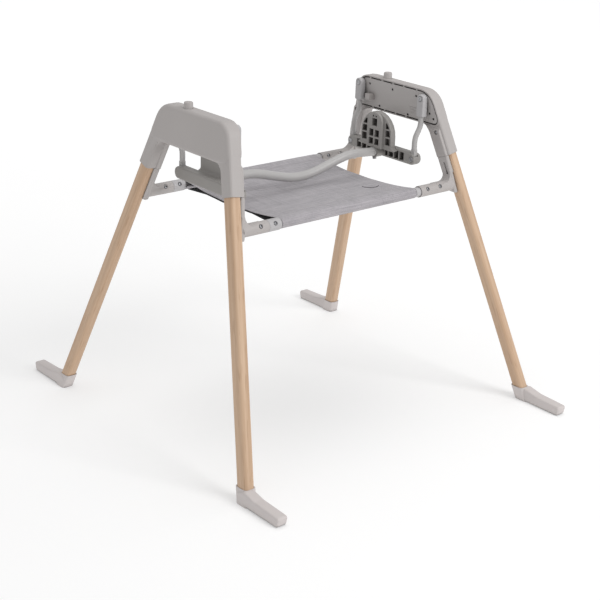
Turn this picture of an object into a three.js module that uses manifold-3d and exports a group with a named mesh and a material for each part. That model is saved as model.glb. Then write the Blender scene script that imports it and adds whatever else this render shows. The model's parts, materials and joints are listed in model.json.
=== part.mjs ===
// A free-standing glider stand for a baby seat. Two leaning end frames on wooden legs carry a parallelogram
// swing: four links, two carriers and one cross tube. A fabric shelf on two rails ties the frames together.
// Millimetres, +Z up, X from one end frame to the other, origin on the floor midway between the four feet.
import * as THREE from "three";
import { mergeVertices } from "three/addons/utils/BufferGeometryUtils.js";
import Module from "manifold-3d";

const wasm = await Module();
wasm.setup();

// ---- Driving dimensions -------------------------------------------------------------------------------
const GAP = 0.3; // between pieces that touch
const LEAN = 0.1866; // how far an end frame leans inwards, per unit of height
const SPLAY = 0.3528; // how far a leg splays outwards, per unit of height
const FOOT_X = 352; // the end frame's plane at the floor
const FOOT_Y = 295.3; // a leg's axis at the floor

const LEG = { x: 10.7, y: 13.25, corner: 6.5, bottom: 8, top: 524 }; // half sizes of the level section
const SHELL = { x: 12.8, y: 15.3, bottom: 480, wall: 2 }; // the sleeves round the leg tops
const CHEEK = { inner: -19.8, out: 10.8, into: 18.3 }; // the thick plate on each sleeve's inner side
// The box over the arch, and the cover that closes its inner side.
const HEAD = { top: 600, arch: 531, outer: 14.2, inner: -13.9, wall: 2.9, corner: 36 };
const COVER = { outer: -11.4, inner: -13.2, slot: 2.6 };
const BRIDGES = [68, 34.8, 3.6, -26.2, -61.4]; // tabs across the slot over the cover, from the back
const TICKS = { from: -57, to: -39, z: [547, 552.5, 558], high: 0.5 }; // three short lines on the cover

const SET_BACK = 4.5; // how far the middle of the swing hangs behind the middle of the frames
const PIVOT = { y: 87, upper: 583, lower: 466.6, bore: 3.3, pin: 3 }; // y from the swing's own middle
const CAP = { face: 217.3, deep: 229.9, back: -14.3, half: 9, bottom: 548, top: 591.5 };
const LINK = { r: 5.25, topX: 223.6, lowX: 210.5, end: 484 };
const TONGUE = { from: 206.2, to: 214.8, half: 4.2, eye: 5.7 };

const BAR = { inner: 203, outer: 223, half: 95.5, bottom: 455.1, top: 478.1 };
// The half-round plate, and its raised middle, which a seat docks against.
const DOCK = { inner: 190, outer: 202, half: 43.5, bottom: 474, top: 544.5, floor: 199.5 };
const TOWER = { face: 184.5, half: 21 };
const SOCKET = { x: 186, z: 465.6, r: 11.4 }; // holds the cross tube
const TUBE = { r: 8.5, wall: 1.5, end: 205 };

const RAIL = { y: 142.5, z: 423, r: 8, wall: 1.5, end: 236 };
const ELBOW = { r: 11, inner: -20, outer: -11.2, bottom: 409, width: 11.2, deep: 16.5 };
const SHANK = { inner: -14.4, half: 9, top: 525 }; // the bracket's flat shank, hidden in the sleeve
const STRAP_SCREW = { y: 112.6, z: 522, r: 4.4 }; // the well of the screw that holds a shank
const SHELF = { left: -171.6, right: 155.4, sleeve: 10, mid: 423.5, sag: 2.2, cloth: 1.6 };
const LINING = { leaves: 68, reach: 128, edge: 418.2, thick: 1.2 }; // where it parts from the cloth

const BUTTON = { x: 240, y: 32, r: 8.25, top: 611.5, shelf: 576 };
const LOCK = { y0: 61.5, y1: 76, z0: 551, z1: 564, travel: 3 };

// Each end's rail connector: where its socket ends, the widened mouth if it has one, the loose collar
// from end to end with its radius, and the screws in both.
const ENDS = {
  left: {
    sign: -1,
    seam: 200,
    mouth: 0,
    collar: [172, 199.7],
    collarR: 11,
    elbowScrews: [219],
    collarScrews: [186.6],
  },
  right: {
    sign: 1,
    seam: 167.5,
    mouth: 10,
    collar: [155.8, 169.7],
    collarR: 9.2,
    elbowScrews: [217, 183.8],
    collarScrews: [],
  },
};
const DRIVE = [0, 0.866, -0.5]; // the way the rail screws are driven

const plastic = new THREE.MeshStandardMaterial({ color: 0xa9a6a3, roughness: 0.6 });
const innerPlastic = new THREE.MeshStandardMaterial({ color: 0x8c8a87, roughness: 0.65 });
const footPlastic = new THREE.MeshStandardMaterial({ color: 0xbeb4b2, roughness: 0.6 });
const paintedSteel = new THREE.MeshStandardMaterial({ color: 0xb4b3b1, metalness: 0.3, roughness: 0.45 });
const steel = new THREE.MeshStandardMaterial({ color: 0x9a9a9c, metalness: 0.9, roughness: 0.35 });
const wood = new THREE.MeshStandardMaterial({ color: 0xd0aa7c, roughness: 0.7 });
const cloth = new THREE.MeshStandardMaterial({ color: 0xa8a3a8, roughness: 0.95 });
const darkCloth = new THREE.MeshStandardMaterial({ color: 0x2c2b2d, roughness: 0.95 });

// ---- Frames of reference ------------------------------------------------------------------------------
// Shape coordinates (across, up) drawn in the Y-Z plane and extruded along X.
const ACROSS = new THREE.Matrix4().makeBasis(
  new THREE.Vector3(0, 1, 0),
  new THREE.Vector3(0, 0, 1),
  new THREE.Vector3(1, 0, 0),
);
// Shape coordinates (x, up) drawn in the X-Z plane and extruded along -Y.
const ALONG = new THREE.Matrix4().makeBasis(
  new THREE.Vector3(1, 0, 0),
  new THREE.Vector3(0, 0, 1),
  new THREE.Vector3(0, -1, 0),
);
// The leaning plane of the +X end frame: x is measured outwards from the legs' axes.
const FRAME = new THREE.Matrix4().set(1, 0, -LEAN, FOOT_X, 0, 1, 0, 0, 0, 0, 1, 0, 0, 0, 0, 1);
// The same plane, with y also measured outwards from the +Y leg's axis.
const ON_LEG = new THREE.Matrix4().set(1, 0, -LEAN, FOOT_X, 0, 1, -SPLAY, FOOT_Y, 0, 0, 1, 0, 0, 0, 0, 1);
const FLIP_Y = new THREE.Matrix4().makeScale(1, -1, 1);
// Level layers turned square to the +Y leg, in the frame of ON_LEG.
const LENGTH_2 = 1 + LEAN ** 2 + SPLAY ** 2;
const SQUARE = new THREE.Matrix4().set(
  ...[1, 0, 0, 0],
  ...[0, 1, 0, 0],
  ...[LEAN / LENGTH_2, SPLAY / LENGTH_2, 1, 0],
  ...[0, 0, 0, 1],
);

const raised = (z) => new THREE.Matrix4().makeTranslation(0, 0, z);

const SIDES = ["front", "back"];
const legY = (z) => FOOT_Y - SPLAY * z;
const frameX = (z) => FOOT_X - LEAN * z;
const pivotY = (side) => SET_BACK + (side === "front" ? -PIVOT.y : PIVOT.y);

// ---- Solids -------------------------------------------------------------------------------------------
function solid(geometry) {
  const bare = new THREE.BufferGeometry();
  const source = geometry.index ? geometry.toNonIndexed() : geometry;
  bare.setAttribute("position", source.getAttribute("position"));
  const merged = mergeVertices(bare, 1e-4);
  return new wasm.Manifold(
    new wasm.Mesh({
      numProp: 3,
      vertProperties: merged.attributes.position.array,
      triVerts: new Uint32Array(merged.index.array),
    }),
  );
}

function geometryOf(body) {
  const mesh = body.getMesh();
  const positions = new Float32Array(mesh.numVert * 3);
  for (let i = 0; i < mesh.numVert; i++) {
    positions.set(mesh.vertProperties.subarray(i * mesh.numProp, i * mesh.numProp + 3), i * 3);
  }
  const geometry = new THREE.BufferGeometry();
  geometry.setAttribute("position", new THREE.BufferAttribute(positions, 3));
  geometry.setIndex(new THREE.BufferAttribute(new Uint32Array(mesh.triVerts), 1));
  return geometry;
}

// A body carried by a matrix; a mirroring matrix also turns the faces round again.
function carried(body, matrix) {
  const geometry = geometryOf(body).applyMatrix4(matrix);
  if (matrix.determinant() < 0) {
    const index = geometry.index.array;
    for (let i = 0; i < index.length; i += 3) [index[i + 1], index[i + 2]] = [index[i + 2], index[i + 1]];
  }
  return solid(geometry);
}

const union = (...bodies) => bodies.reduce((a, b) => a.add(b));
const cut = (body, ...tools) => tools.reduce((a, b) => a.subtract(b), body);
const across = (shape, from, to, options) => carried(prism(shape, from, to, options), ACROSS);
const onSide = (body, side) => (side === "front" ? carried(body, FLIP_Y) : body);
const hung = (body) => carried(body, new THREE.Matrix4().makeTranslation(0, SET_BACK, 0));

function node(name, body, material) {
  const mesh = new THREE.Mesh(geometryOf(body).toNonIndexed(), material);
  mesh.geometry.computeVertexNormals();
  mesh.name = name;
  return mesh;
}

// A closed outline from corners [x, y, fillet radius], counter-clockwise.
function outline(corners) {
  const shape = new THREE.Shape();
  corners.forEach(([x, y, r = 0], i) => {
    const here = new THREE.Vector2(x, y);
    const toLast = new THREE.Vector2(...corners.at(i - 1)).sub(here);
    const toNext = new THREE.Vector2(...corners[(i + 1) % corners.length]).sub(here);
    const turn = Math.abs(toLast.angleTo(toNext));
    const reach = r ? Math.min(r / Math.tan(turn / 2), toLast.length() * 0.47, toNext.length() * 0.47) : 0;
    const start = toLast.clone().setLength(reach).add(here);
    const end = toNext.clone().setLength(reach).add(here);
    if (i === 0) shape.moveTo(start.x, start.y);
    else shape.lineTo(start.x, start.y);
    if (!r) return;
    const pull = (4 / 3) * Math.tan((Math.PI - turn) / 4) * Math.tan(turn / 2);
    const a = start.clone().lerp(here, pull);
    const b = end.clone().lerp(here, pull);
    shape.bezierCurveTo(a.x, a.y, b.x, b.y, end.x, end.y);
  });
  shape.closePath();
  return shape;
}

// An outline extruded from one level to another, with its edges rounded off by `round` at either level.
function prism(shape, from, to, { round = 0, both = true, curve = 4, steps = 2 } = {}) {
  const spare = both ? 0 : round + 1;
  const geometry = new THREE.ExtrudeGeometry(shape, {
    depth: to - from - 2 * round + spare,
    curveSegments: curve,
    bevelEnabled: round > 0,
    bevelThickness: round,
    bevelSize: round,
    bevelOffset: -round,
    bevelSegments: steps,
  });
  geometry.translate(0, 0, from + round - spare);
  const body = solid(geometry);
  return both ? body : body.intersect(slab(from, to));
}

function slab(from, to) {
  return box([-900, 900], [-900, 900], [from, to]);
}

function box([x0, x1], [y0, y1], [z0, z1]) {
  const geometry = new THREE.BoxGeometry(x1 - x0, y1 - y0, z1 - z0);
  return solid(geometry.translate((x0 + x1) / 2, (y0 + y1) / 2, (z0 + z1) / 2));
}

function roundedRect(halfX, halfY, corner) {
  return outline([
    [-halfX, -halfY, corner],
    [halfX, -halfY, corner],
    [halfX, halfY, corner],
    [-halfX, halfY, corner],
  ]);
}

// A turned piece: profile [radius, height] from the axis to the axis, stood on `at` along `direction`.
function turned(profile, at, direction, sides = 16) {
  const points = profile.map(([r, h]) => new THREE.Vector2(r, h));
  const geometry = new THREE.LatheGeometry(points, sides);
  const turn = new THREE.Quaternion().setFromUnitVectors(
    new THREE.Vector3(0, 1, 0),
    new THREE.Vector3(...direction),
  );
  geometry.applyQuaternion(turn).translate(...at);
  return solid(geometry);
}

function rod(r, at, direction, length, sides = 16) {
  return turned([[0, 0], [r, 0], [r, length], [0, length]], at, direction, sides);
}

// A round bar, or a tube when `hollow` is its bore radius, swept along a curve.
function sweep(path, r, { hollow = 0, sides = 12, steps = 12 } = {}) {
  const ring = (radius) =>
    Array.from({ length: sides }, (_, i) => {
      const a = (i / sides) * 2 * Math.PI;
      return new THREE.Vector2(radius * Math.cos(a), radius * Math.sin(a));
    });
  const shape = new THREE.Shape(ring(r));
  if (hollow) shape.holes.push(new THREE.Path(ring(hollow).reverse()));
  return solid(new THREE.ExtrudeGeometry(shape, { steps, extrudePath: path, bevelEnabled: false }));
}

// ---- Legs and feet ------------------------------------------------------------------------------------
function leg(side) {
  const stick = prism(roundedRect(LEG.x, LEG.y, LEG.corner), LEG.bottom, LEG.top, { curve: 3 });
  return onSide(carried(stick, ON_LEG), side);
}

// A boot: a collar that follows the leg, and a long toe that points outwards.
function foot(side) {
  const collar = carried(prism(roundedRect(LEG.x + 1.6, LEG.y + 1.7, 6), 0, 27, { curve: 3 }), ON_LEG);
  const toe = prism(
    outline([
      [281, 0, 5],
      [389, 0, 5],
      [393.5, 18.5, 5],
      [330, 21, 14],
      [301, 27, 5],
      [281, 20, 8],
    ]),
    FOOT_X - 11,
    FOOT_X + 11,
    { round: 3.5, curve: 3, steps: 2 },
  );
  const heel = box([FOOT_X - 20, FOOT_X + 20], [legY(0) - LEG.y - 1.7, 400], [0, 40]);
  const well = prism(roundedRect(LEG.x + GAP, LEG.y + GAP, LEG.corner), LEG.bottom - GAP, 60, { curve: 3 });
  const boot = union(collar, carried(toe, ACROSS).intersect(heel));
  return onSide(cut(boot, carried(well, ON_LEG)), side);
}

// ---- Head ---------------------------------------------------------------------------------------------
// The arch and its two legs, drawn `inset` inside edges that lie `out` and `into` from the legs' axes.
function frameOutline(inset, bottom, top, { out = SHELL.y, into = SHELL.y } = {}) {
  const outer = (z) => legY(z) + out - inset;
  const inner = (z) => legY(z) - into + inset;
  const arch = HEAD.arch + inset;
  const corner = 20 + inset;
  const right = [
    [inner(bottom), bottom],
    [outer(bottom), bottom],
    [outer(top), top, HEAD.corner - inset],
  ];
  const left = right.map(([y, z, r]) => [-y, z, r]).reverse();
  return outline([...right, ...left, [-inner(arch), arch, corner], [inner(arch), arch, corner]]);
}

// The raised panel over the arch, drawn `inset` inside its outer surface.
function panelOutline(inset, top = HEAD.top) {
  const low = HEAD.arch + inset;
  const high = top - inset;
  const half = (z) => legY(z) + SHELL.y + 0.2 - inset;
  return outline([
    [-half(low), low, 15 - inset],
    [half(low), low, 15 - inset],
    [half(high), high, HEAD.corner - inset],
    [-half(high), high, HEAD.corner - inset],
  ]);
}

function headShell() {
  const low = SHELL.bottom - 10;
  const sleeves = across(frameOutline(0, low, 598), HEAD.inner, SHELL.x, { round: 5.5, steps: 3 });
  const panelRoom = across(panelOutline(HEAD.wall), HEAD.inner - 1, HEAD.outer - HEAD.wall - 0.3);
  const sleeveRoom = across(frameOutline(SHELL.wall, low - 1, 590), -LEG.x - 0.25, SHELL.x - SHELL.wall);
  const hollow = cut(union(sleeves, cheeks(), panel()), panelRoom, sleeveRoom);
  const shell = carried(union(hollow, ...archRibs()), FRAME);
  const holes = [
    rod(BUTTON.r + 0.5, [BUTTON.x, BUTTON.y, 590], [0, 0, 1], 20, 16),
    ...SIDES.map((side) => pivotBore(side, 226, 251)),
    ...[squareToLeg(-60, 0), shankRoom(), screwWell()].flatMap((hole) => [hole, onSide(hole, "front")]),
  ];
  return cut(union(shell, buttonShelf(), ...SIDES.map(pivotBoss)), ...holes);
}

// A block round the +Y leg whose ends are square to it, measured from the sleeve's mouth.
function squareToLeg(from, to) {
  return carried(carried(carried(box([-60, 60], [-60, 60], [from, to]), SQUARE), raised(SHELL.bottom)), ON_LEG);
}

// The plates on the sleeves' inner sides, level with the brackets below and chamfered under the cover.
function cheeks() {
  const plates = across(frameOutline(0, SHELL.bottom - 10, 598, CHEEK), CHEEK.inner, 3 - LEG.x, {
    round: 3,
    steps: 2,
  });
  const kept = outline([
    [CHEEK.inner - 1, 400],
    [0, 400],
    [0, HEAD.arch],
    [HEAD.inner, HEAD.arch],
    [CHEEK.inner - 1, HEAD.arch - 7],
  ]);
  return plates.intersect(carried(prism(kept, -300, 300), ALONG));
}

function shankRoom() {
  const side = SHANK.half + GAP;
  return carried(box([SHANK.inner - GAP, -LEG.x], [-side, side], [460, SHANK.top + 1]), ON_LEG);
}

function screwWell() {
  const face = frameX(STRAP_SCREW.z) + CHEEK.inner;
  return rod(STRAP_SCREW.r, [face - 4, STRAP_SCREW.y, STRAP_SCREW.z], [1, 0, 0], 6.4, 12);
}

// The solid box over the arch: its outer edges well rounded, its inner edges just eased.
function panel() {
  const shape = panelOutline(0);
  const outside = across(shape, HEAD.inner, HEAD.outer, { round: 7, both: false, curve: 5, steps: 4 });
  return outside.intersect(across(shape, HEAD.inner, HEAD.outer + 20, { round: 1.8, curve: 5, steps: 2 }));
}

function pivotBore(side, from, to) {
  return rod(PIVOT.bore, [from, pivotY(side), PIVOT.upper], [1, 0, 0], to - from, 12);
}

function pivotBoss(side) {
  const back = frameX(PIVOT.upper) + HEAD.outer - HEAD.wall;
  return rod(6.5, [233.8, pivotY(side), PIVOT.upper], [1, 0, 0], back + 1 - 233.8, 12);
}

// The ledge that the button's spring stands on.
function buttonShelf() {
  const out = frameX(BUTTON.shelf) + HEAD.outer - HEAD.wall + 1;
  return box([234.2, out], [BUTTON.y - 9, BUTTON.y + 9], [BUTTON.shelf - 2.5, BUTTON.shelf]);
}

// Stiffening ribs across the hollow corners of the arch, clear of the legs.
function archRibs() {
  const inside = across(frameOutline(1, SHELL.bottom, 590), -20, 20);
  const ribs = [522, 527].map((z) => {
    const edge = legY(z) - LEG.y - 1;
    return box([ELBOW.outer + 2, SHELL.x - 1], [edge - 20, edge], [z - 0.7, z + 0.7]).intersect(inside);
  });
  return [...ribs, ...ribs.map((rib) => carried(rib, FLIP_Y))];
}

function headCover() {
  const plate = across(panelOutline(HEAD.wall + COVER.slot), COVER.inner, COVER.outer);
  const tabs = BRIDGES.flatMap((y) => [
    box([COVER.inner, COVER.outer], [y - 2, y + 2], [590, HEAD.top - HEAD.wall - GAP]),
    box([COVER.inner, COVER.outer], [y - 2, y + 2], [HEAD.arch + HEAD.wall + GAP, 540]),
  ]);
  const ticks = TICKS.z.map((z) =>
    box([COVER.inner - TICKS.high, COVER.inner + 0.5], [TICKS.from, TICKS.to], [z - 0.6, z + 0.6]),
  );
  const body = carried(union(plate, ...tabs, ...ticks), FRAME);
  const top = [71.4, 6.6, -59].map((y) => [y, 583]);
  const low = [[48.7, 541.2], [-31.4, 540.2], [-92.6, 554.7], [-102, 545.6]];
  const wells = [...top, ...low].map(([y, z]) =>
    rod(2.6, [frameX(z) + COVER.inner - 2, y, z], [1, 0, 0], 2.9, 10),
  );
  const slotY = [LOCK.y0 + 4 - LOCK.travel, LOCK.y1 - 3];
  const lockSlot = box([220, 245], slotY, [LOCK.z0 + 2.4, LOCK.z1 - 2.4]);
  return cut(body, lockSlot, ...wells, ...SIDES.map((side) => pivotBore(side, 220, 240)));
}

// ---- Button and swing lock ----------------------------------------------------------------------------
function button() {
  const profile = [
    [0, 591],
    [6.8, 591],
    [6.8, 594.5],
    [BUTTON.r, 594.5],
    [BUTTON.r, 609.8],
    [7.6, 611],
    [6, BUTTON.top],
    [0, BUTTON.top],
  ];
  return turned(profile, [BUTTON.x, BUTTON.y, 0], [0, 0, 1], 16);
}

function spring() {
  const low = BUTTON.shelf + GAP + 0.7;
  const high = 591 - GAP - 0.7;
  const count = 40;
  const points = Array.from({ length: count + 1 }, (_, i) => {
    const a = (i / 10) * 2 * Math.PI;
    const z = low + ((high - low) * i) / count;
    return new THREE.Vector3(BUTTON.x + 4.6 * Math.cos(a), BUTTON.y + 4.6 * Math.sin(a), z);
  });
  return sweep(new THREE.CatmullRomCurve3(points), 0.7, { sides: 4, steps: 36 });
}

// A bumper on the cover that ends the back link's swing, and draws back when the button is pressed.
function swingLock() {
  const block = across(
    outline([
      [LOCK.y0, LOCK.z0, 2],
      [LOCK.y1, LOCK.z0, 2],
      [LOCK.y1, LOCK.z1, 2],
      [LOCK.y0, LOCK.z1, 2],
    ]),
    222,
    245,
    { round: 1, steps: 1, curve: 2 },
  );
  const front = carried(box([-60, COVER.inner - GAP], [0, 100], [500, 640]), FRAME);
  const stem = box([230, 242], [LOCK.y0 + 5, LOCK.y1 - 4], [LOCK.z0 + 3, LOCK.z1 - 3]);
  return union(block.intersect(front), stem);
}

// ---- Swing links --------------------------------------------------------------------------------------
function linkCap(side) {
  const [left, right] = [PIVOT.y - CAP.half, PIVOT.y + CAP.half];
  const shape = outline([
    [left, CAP.bottom, 3],
    [right, CAP.bottom, 3],
    [right, CAP.top, CAP.half - 1],
    [left, CAP.top, CAP.half - 1],
  ]);
  const block = across(shape, CAP.face, CAP.deep, { round: 1.4, steps: 1, curve: 5 });
  const back = carried(box([-80, CAP.back], [0, 140], [500, 640]), FRAME);
  const headWell = rod(5.4, [CAP.face - 1, PIVOT.y, PIVOT.upper], [1, 0, 0], 2.6, 14);
  const bore = rod(PIVOT.bore, [CAP.face - 1, PIVOT.y, PIVOT.upper], [1, 0, 0], 40, 12);
  const well = rod(LINK.r + 0.45, [LINK.topX, PIVOT.y, 540], [0, 0, 1], 21, 12);
  return hung(onSide(cut(block.intersect(back), headWell, bore, well), side));
}

function linkTube(side) {
  const bend = [
    [LINK.topX, 560.5],
    [LINK.topX, 542],
    [LINK.topX - 0.2, 535],
    [LINK.topX - 2, 527],
    [LINK.lowX + 1.6, 510],
    [LINK.lowX, 502],
    [LINK.lowX, LINK.end],
  ];
  const path = new THREE.CatmullRomCurve3(bend.map(([x, z]) => new THREE.Vector3(x, PIVOT.y, z)));
  const width = [PIVOT.y - TONGUE.half, PIVOT.y + TONGUE.half];
  const tongue = box([TONGUE.from, TONGUE.to], width, [PIVOT.lower, LINK.end + 2]);
  const eye = rod(TONGUE.eye, [TONGUE.from, PIVOT.y, PIVOT.lower], [1, 0, 0], TONGUE.to - TONGUE.from, 14);
  const bore = rod(PIVOT.bore, [TONGUE.from - 5, PIVOT.y, PIVOT.lower], [1, 0, 0], 20, 12);
  const bar = union(sweep(path, LINK.r, { sides: 14, steps: 12 }), tongue, eye);
  return hung(onSide(cut(bar, bore), side));
}

// A shouldered bolt along X whose head sits at `headX`.
function pivotBolt(side, z, headX, headR, tipX) {
  const profile = [
    [0, 0.9],
    [2, 0.9],
    [2.3, 0],
    [headR - 0.6, 0],
    [headR, 0.6],
    [headR, 2.2],
    [PIVOT.pin, 2.2],
    [PIVOT.pin, tipX - headX],
    [0, tipX - headX],
  ];
  return turned(profile, [headX, pivotY(side), z], [1, 0, 0], 10);
}

// ---- Swing carriers -----------------------------------------------------------------------------------
function barOutline() {
  const corner = (BAR.top - BAR.bottom) / 2 - 0.5;
  return outline([
    [-BAR.half, BAR.bottom, corner],
    [BAR.half, BAR.bottom, corner],
    [BAR.half, BAR.top, corner],
    [-BAR.half, BAR.top, corner],
  ]);
}

// A half-round top, from its right flank over to its left, `inset` inside an outline `half` as wide.
function dockArc(half, inset = 0) {
  return Array.from({ length: 13 }, (_, i) => {
    const a = (i / 12) * Math.PI;
    return [(half - inset) * Math.cos(a), DOCK.top - half + (half - inset) * Math.sin(a)];
  });
}

// The plate with its flared foot, and the inside of its rim.
function dockOutline() {
  const flare = DOCK.half + 7;
  return outline([
    [-flare, DOCK.bottom, 2.4],
    [flare, DOCK.bottom, 2.4],
    [flare, BAR.top, 2.4],
    [DOCK.half, BAR.top, 5],
    ...dockArc(DOCK.half),
    [-DOCK.half, BAR.top, 5],
    [-flare, BAR.top, 2.4],
  ]);
}

function archedOutline(half, inset) {
  const foot = DOCK.bottom + inset;
  return outline([[inset - half, foot, 2], [half - inset, foot, 2], ...dockArc(half, inset)]);
}

const bothSides = (cells) => [...cells, ...cells.map((cell) => carried(cell, FLIP_Y))];

function dockPockets() {
  const pocket = (y, z) => box([TOWER.face - 1, DOCK.floor], y, z);
  const lower = [
    [480, 492.5],
    [496, 510],
  ].map((z) => pocket([2, 13.7], z));
  const notch = pocket([2, 5.5], [534.8, 537.8]);
  const outer = [
    [484, 497.5],
    [500.5, 513],
    [516, 527],
  ].map((z) => pocket([26, 45], z));
  const inside = across(archedOutline(DOCK.half, 4), TOWER.face - 2, DOCK.floor + 2);
  const cells = outer.map((cell) => cell.intersect(inside));
  return [pocket([-7, 7], [517, 532]), ...bothSides([...lower, notch, ...cells])];
}

function barPockets() {
  const cells = [
    [14.5, 22],
    [25, 37],
    [40, 52],
    [55, 67],
  ].map((y) => box([DOCK.inner - 10, BAR.outer - 8], y, [459.3, 475.5]));
  return bothSides(cells);
}

// The clevis slot and bolt holes that hold a link's tongue.
function clevis() {
  const low = PIVOT.lower - TONGUE.eye - GAP;
  const slot = box([TONGUE.from - GAP, TONGUE.to + GAP], [PIVOT.y - 6.9, PIVOT.y + 6.9], [low, 490]);
  const headWell = rod(5.4, [BAR.inner - 1, PIVOT.y, PIVOT.lower], [1, 0, 0], 2.6, 14);
  const bore = rod(PIVOT.bore, [BAR.inner - 1, PIVOT.y, PIVOT.lower], [1, 0, 0], 18, 12);
  return bothSides([slot, headWell, bore]);
}

function carrier() {
  const bar = across(barOutline(), BAR.inner, BAR.outer, { round: 3, steps: 2 });
  const plate = across(dockOutline(), DOCK.inner, DOCK.outer, { round: 1.2, steps: 1 });
  const tower = across(archedOutline(TOWER.half, 0), TOWER.face, DOCK.inner + 4, { round: 1, steps: 1 });
  const socket = rod(SOCKET.r, [SOCKET.x, 0, SOCKET.z], [1, 0, 0], 18, 18);
  const boreFrom = SOCKET.x - 10;
  const socketBore = rod(TUBE.r + GAP, [boreFrom, 0, SOCKET.z], [1, 0, 0], TUBE.end + 0.5 - boreFrom, 16);
  const screwBore = rod(1.9, [SOCKET.x + 3.5, 0, SOCKET.z - 20], [0, 0, 1], 20, 8);
  const dock = cut(union(plate, tower), ...dockPockets());
  const beam = cut(bar, ...barPockets());
  return hung(cut(union(beam, dock, dockRoot(), socket), ...clevis(), socketBore, screwBore));
}

// The fillet that carries the plate on the bar.
function dockRoot() {
  const wedge = outline([
    [DOCK.outer - 2, DOCK.bottom + 2.4],
    [BAR.inner + 6, DOCK.bottom + 2.4],
    [BAR.inner + 6, BAR.top - 1],
    [DOCK.outer - 2, BAR.top + 8],
  ]);
  return carried(prism(wedge, -DOCK.half + 2, DOCK.half - 2), ALONG);
}

function clampScrew() {
  const profile = [
    [0, 0],
    [3.6, 0],
    [4, 0.6],
    [4, 3.4],
    [1.6, 3.4],
    [1.6, 9],
    [0, 9],
  ];
  return hung(turned(profile, [SOCKET.x + 3.5, 0, SOCKET.z - SOCKET.r - 3.7], [0, 0, 1], 10));
}

// A bent tube that dips in the middle, clear of the seat.
function crossTube() {
  const half = [
    [24, 446.4],
    [48, 451.3],
    [72, 457.6],
    [97, 464.2],
    [120, 468.2],
    [142, 468.9],
    [165, 466.9],
    [SOCKET.x, SOCKET.z],
    [TUBE.end, SOCKET.z],
  ];
  const points = [...half.map(([x, z]) => [-x, z]).reverse(), [0, 444.6], ...half];
  const path = new THREE.CatmullRomCurve3(points.map(([x, z]) => new THREE.Vector3(x, 0, z)));
  const tube = sweep(path, TUBE.r, { hollow: TUBE.r - TUBE.wall, sides: 12, steps: 20 });
  const screwHole = (x) => rod(1.9, [x, 0, SOCKET.z - 20], [0, 0, 1], 16, 8);
  return hung(cut(tube, screwHole(SOCKET.x + 3.5), screwHole(-SOCKET.x - 3.5)));
}

// ---- Rails, elbows and their screws -------------------------------------------------------------------
const railY = (side) => (side === "front" ? -RAIL.y : RAIL.y);

// The point on a screw's line that lies `out` from the rail's axis.
const onDrive = (x, side, out) => [x, railY(side) - out * DRIVE[1], RAIL.z - out * DRIVE[2]];

// Room for one screw that enters a rail connector.
function screwRoom(x, side, surface) {
  const recess = rod(4.2, onDrive(x, side, surface + 2), DRIVE, 3.6, 10);
  return union(recess, rod(2.4, onDrive(x, side, surface), DRIVE, surface - 2, 8));
}

function railScrew(x, side, surface) {
  const profile = [
    [0, 1.2],
    [1.7, 1.2],
    [2, 0],
    [3, 0.2],
    [3.6, 1.1],
    [3.6, 1.9],
    [2, 1.9],
    [2, 7],
    [0, 7],
  ];
  return turned(profile, onDrive(x, side, surface + 0.6), DRIVE, 8);
}

// The bracket down a leg's inner face: a strap with a lip round the leg's near edge, cut square under the
// sleeve, a shank that runs on inside it, a gusset and the socket for the rail.
function elbow(side, end) {
  const strap = carried(
    across(
      outline([
        [-ELBOW.deep, ELBOW.bottom, 3],
        [5, ELBOW.bottom, 3],
        [ELBOW.width, 477, 30],
        [ELBOW.width, 500],
        [-ELBOW.deep, 500],
      ]),
      ELBOW.inner,
      ELBOW.outer,
      { round: 2, steps: 1, curve: 3 },
    ),
    ON_LEG,
  );
  const lipY = [0.3 - ELBOW.deep, -LEG.y - GAP];
  const lip = carried(box([ELBOW.outer - 3, 5 - LEG.x], lipY, [ELBOW.bottom + 4, 500]), ON_LEG);
  const shankY = [-SHANK.half, SHANK.half];
  const shank = carried(box([SHANK.inner, ELBOW.outer], shankY, [ELBOW.bottom + 40, SHANK.top]), ON_LEG);
  const inward = (z) => frameX(z) + ELBOW.inner;
  const gusset = carried(
    prism(
      outline([
        [inward(471) + 1, 471],
        [inward(432) - 0.5, 431, 18],
        [inward(432) - 42, 431],
        [inward(432) - 42, 424],
        [inward(424) + 5, 424],
        [inward(471) + 5, 471],
      ]),
      -RAIL.y - 20,
      -RAIL.y + 20,
      { round: 2, steps: 1, curve: 5 },
    ),
    ALONG,
  ).intersect(carried(box([-200, 0], [-12, 7], [400, 480]), ON_LEG));
  const socket = rod(ELBOW.r, [end.seam, RAIL.y, RAIL.z], [1, 0, 0], 256 - end.seam, 18);
  const bore = rod(RAIL.r + GAP, [end.seam - 1, RAIL.y, RAIL.z], [1, 0, 0], RAIL.end + 1.5 - end.seam, 14);
  const groove = carried(box([ELBOW.inner - 1, ELBOW.inner + 1.8], [-2, 2.5], [434, 466]), ON_LEG);
  const mouth = end.mouth ? [rod(end.mouth, [end.seam - 1, RAIL.y, RAIL.z], [1, 0, 0], 3.5, 18)] : [];
  const solidParts = union(cut(union(strap, lip, gusset), squareToLeg(-GAP, 60)), shank, socket);
  const body = onSide(cut(solidParts, bore, groove, ...mouth), side);
  return cut(body, ...end.elbowScrews.map((x) => screwRoom(x, side, ELBOW.r)));
}

function collar(side, end) {
  const [from, to] = end.collar;
  const profile = [
    [0, 0],
    [end.collarR - 2, 0],
    [end.collarR - 0.6, 0.6],
    [end.collarR, 2],
    [end.collarR, to - from],
    [0, to - from],
  ];
  const ring = turned(profile, [from, railY(side), RAIL.z], [1, 0, 0], 18);
  const bore = rod(RAIL.r + GAP, [from - 1, railY(side), RAIL.z], [1, 0, 0], to - from + 2, 14);
  return cut(ring, bore, ...end.collarScrews.map((x) => screwRoom(x, side, end.collarR)));
}

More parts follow.
